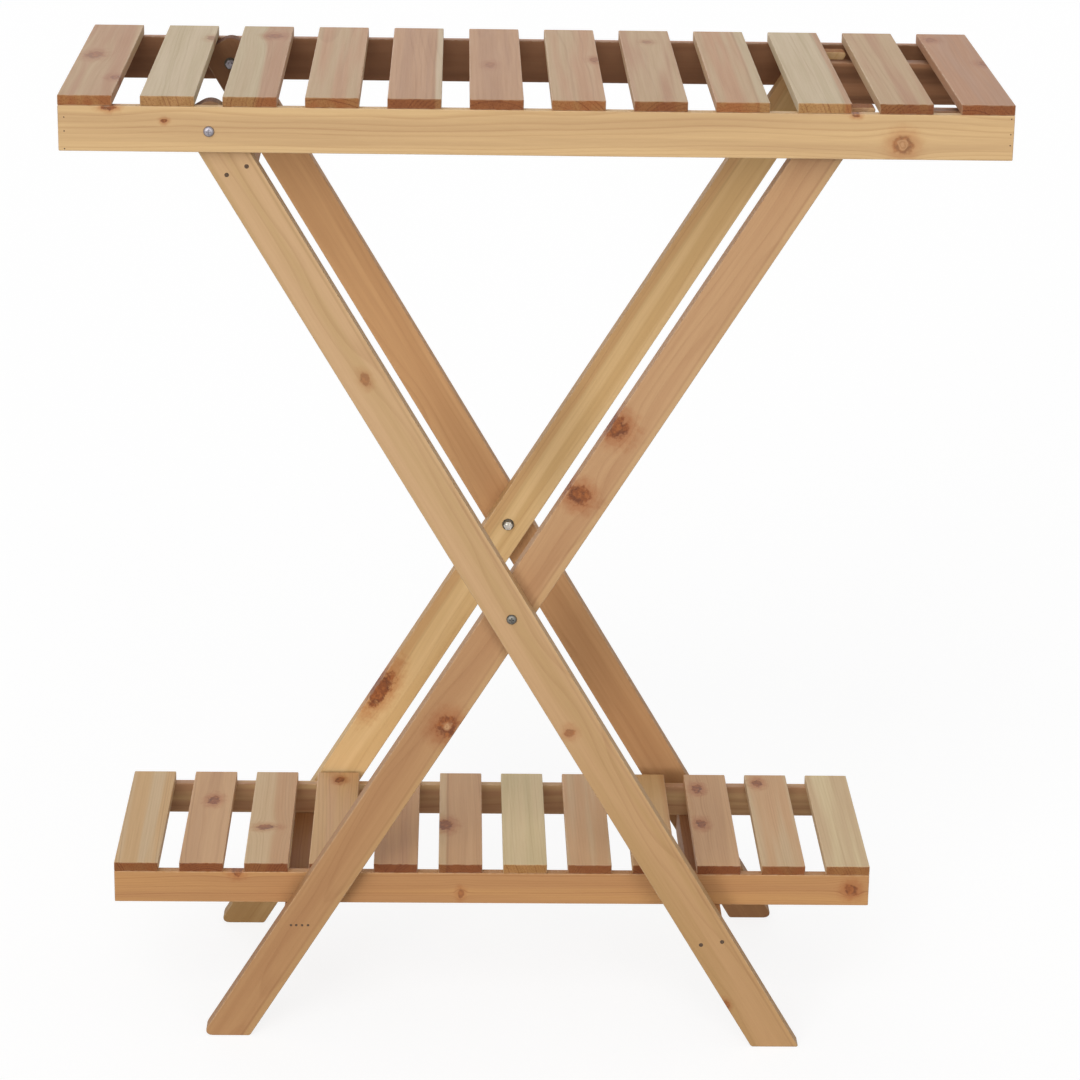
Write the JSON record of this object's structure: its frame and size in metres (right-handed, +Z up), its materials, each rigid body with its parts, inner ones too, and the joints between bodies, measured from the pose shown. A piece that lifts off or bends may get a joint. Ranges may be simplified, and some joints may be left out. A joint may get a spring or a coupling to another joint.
{
  "type": "folding plant stand",
  "caption": "Crossed-leg wooden plant stand with a long slatted top tray and a loose slatted shelf lying low between the legs.",
  "frame": {"origin": "on the floor under the middle of the top tray's length and depth", "axes": "+X along the tray to the right as seen from the front, +Y from the front to the back, +Z up"},
  "size_m": [0.85, 0.342, 0.9374],
  "materials": {
    "tray_wood": "planed softwood, bare",
    "leg_wood": "planed softwood, bare",
    "shelf_wood": "planed softwood, bare",
    "zinc_plated_steel": "dull zinc plate"
  },
  "bodies": {
    "outer_leg_frame": {"outer_front_leg": "leg_wood", "outer_back_leg": "leg_wood", "outer_top_crossbar": "leg_wood", "outer_bottom_crossbar": "leg_wood", "front_tray_bolt": "zinc_plated_steel", "front_tray_washer": "zinc_plated_steel", "front_tray_nut": "zinc_plated_steel", "back_tray_bolt": "zinc_plated_steel", "back_tray_washer": "zinc_plated_steel", "back_tray_nut": "zinc_plated_steel", "front_centre_bolt": "zinc_plated_steel", "front_centre_washer": "zinc_plated_steel", "front_centre_nut": "zinc_plated_steel", "back_centre_bolt": "zinc_plated_steel", "back_centre_washer": "zinc_plated_steel", "back_centre_nut": "zinc_plated_steel"},
    "inner_leg_frame": {"inner_front_leg": "leg_wood", "inner_back_leg": "leg_wood", "inner_bottom_crossbar": "leg_wood"},
    "tray": {"tray_front_rail": "tray_wood", "tray_back_rail": "tray_wood", "tray_left_end_rail": "tray_wood", "tray_right_end_rail": "tray_wood", "tray_front_stop_board": "tray_wood", "tray_back_stop_board": "tray_wood", "tray_slat_01": "tray_wood", "tray_slat_02": "tray_wood", "tray_slat_03": "tray_wood", "tray_slat_04": "tray_wood", "tray_slat_05": "tray_wood", "tray_slat_06": "tray_wood", "tray_slat_07": "tray_wood", "tray_slat_08": "tray_wood", "tray_slat_09": "tray_wood", "tray_slat_10": "tray_wood", "tray_slat_11": "tray_wood", "tray_slat_12": "tray_wood"},
    "lower_shelf": {"shelf_front_rail": "shelf_wood", "shelf_back_rail": "shelf_wood", "shelf_left_end_rail": "shelf_wood", "shelf_right_end_rail": "shelf_wood", "shelf_slat_01": "shelf_wood", "shelf_slat_02": "shelf_wood", "shelf_slat_03": "shelf_wood", "shelf_slat_04": "shelf_wood", "shelf_slat_05": "shelf_wood", "shelf_slat_06": "shelf_wood", "shelf_slat_07": "shelf_wood", "shelf_slat_08": "shelf_wood", "shelf_slat_09": "shelf_wood", "shelf_slat_10": "shelf_wood", "shelf_slat_11": "shelf_wood", "shelf_slat_12": "shelf_wood"}
  },
  "joints": [
    {"name": "leg_fold", "type": "hinge", "parent": "outer_leg_frame", "child": "inner_leg_frame", "pos_m": [-0.01681, 0, 0.44317], "axis": [0, -1, 0], "range_deg": [0, 55]},
    {"name": "tray_tilt", "type": "hinge", "parent": "outer_leg_frame", "child": "tray", "pos_m": [-0.29164, 0, 0.90603], "axis": [0, -1, 0], "range_deg": [0, 40.8]},
    {"name": "shelf_lift", "type": "slide", "parent": "outer_leg_frame", "child": "lower_shelf", "axis": [0, 0, 1], "range_m": [0, 0.15]}
  ],
  "couplings": [
    {"joint": "tray_tilt", "follows": "leg_fold", "ratio": 0.74}
  ]
}
